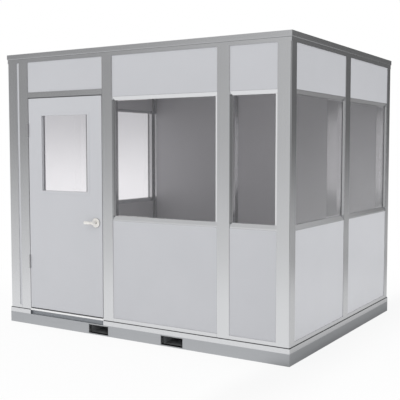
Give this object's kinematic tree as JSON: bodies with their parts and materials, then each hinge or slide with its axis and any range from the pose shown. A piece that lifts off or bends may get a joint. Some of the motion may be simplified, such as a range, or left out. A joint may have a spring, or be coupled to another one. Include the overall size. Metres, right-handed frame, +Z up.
{
  "type": "in-plant office",
  "caption": "Free-standing modular office cabin with metal-framed panel walls, windows on three sides, a hinged door with a glazed light and a steel base with fork pockets.",
  "frame": {"origin": "middle of the base's underside, on the ground, at the centre of the middle joist", "axes": "+X to the right along the front wall, +Y from the front wall with the door to the back, +Z up"},
  "size_m": [3.048, 2.493, 2.624],
  "materials": {
    "base_steel": "silver-grey paint on steel, satin",
    "floor": "grey floor deck, matt",
    "edging": "satin anodised",
    "threshold": "bright mill finish",
    "wall_panel": "light grey, fine matt texture",
    "window_frame": "satin anodised",
    "glass": "clear polished",
    "roof_cap": "satin anodised",
    "roof_deck": "galvanised and painted, satin",
    "ceiling": "off-white, matt",
    "door_paint": "light grey paint, satin",
    "hinge": "brushed",
    "lever_metal": "satin nickel",
    "post_aluminium": "satin anodised"
  },
  "bodies": {
    "office": {"back_bottom_tracks": "post_aluminium", "back_corner_posts": "post_aluminium", "back_floor_edging": "edging", "back_mullions": "post_aluminium", "back_panels": "wall_panel", "back_roof_cap": "roof_cap", "back_top_track": "post_aluminium", "base_back_channel": "base_steel", "base_front_channel": "base_steel", "base_side_channels": "base_steel", "ceiling_board": "ceiling", "door_head": "post_aluminium", "door_hinge_jamb": "post_aluminium", "door_strike_post": "post_aluminium", "door_threshold": "threshold", "floor_deck": "floor", "floor_joists": "base_steel", "fork_pocket_tubes": "base_steel", "front_bottom_tracks": "post_aluminium", "front_corner_posts": "post_aluminium", "front_filler_panel": "wall_panel", "front_floor_edging": "edging", "front_lower_panels": "wall_panel", "front_mullion": "post_aluminium", "front_roof_cap": "roof_cap", "front_top_track": "post_aluminium", "front_upper_panels": "wall_panel", "front_window_frames": "window_frame", "front_window_glass": "glass", "hinge_frame_halves": "hinge", "left_lower_panels": "wall_panel", "left_upper_panels": "wall_panel", "left_window_frames": "window_frame", "left_window_glass": "glass", "right_lower_panels": "wall_panel", "right_upper_panels": "wall_panel", "right_window_frames": "window_frame", "right_window_glass": "glass", "roof_deck": "roof_deck", "side_bottom_tracks": "post_aluminium", "side_floor_edging": "edging", "side_mullions": "post_aluminium", "side_roof_caps": "roof_cap", "side_top_tracks": "post_aluminium"},
    "door": {"door_leaf": "door_paint", "door_lite_frame": "door_paint", "door_glass": "glass", "hinge_door_halves": "hinge", "door_roses": "lever_metal"},
    "lever": {"outside_lever": "lever_metal", "inside_lever": "lever_metal"}
  },
  "joints": [
    {"name": "door_swing", "type": "hinge", "parent": "office", "child": "door", "pos_m": [-1.2555, -1.222, 1.039], "axis": [0, 0, -1], "range_deg": [0, 170]},
    {"name": "lever_turn", "type": "hinge", "parent": "door", "child": "lever", "pos_m": [-0.424, -1.214, 1.039], "axis": [0, -1, 0], "range_deg": [0, 45], "stiffness_Nm_per_rad": 1.5, "springref_deg": -34.38}
  ]
}
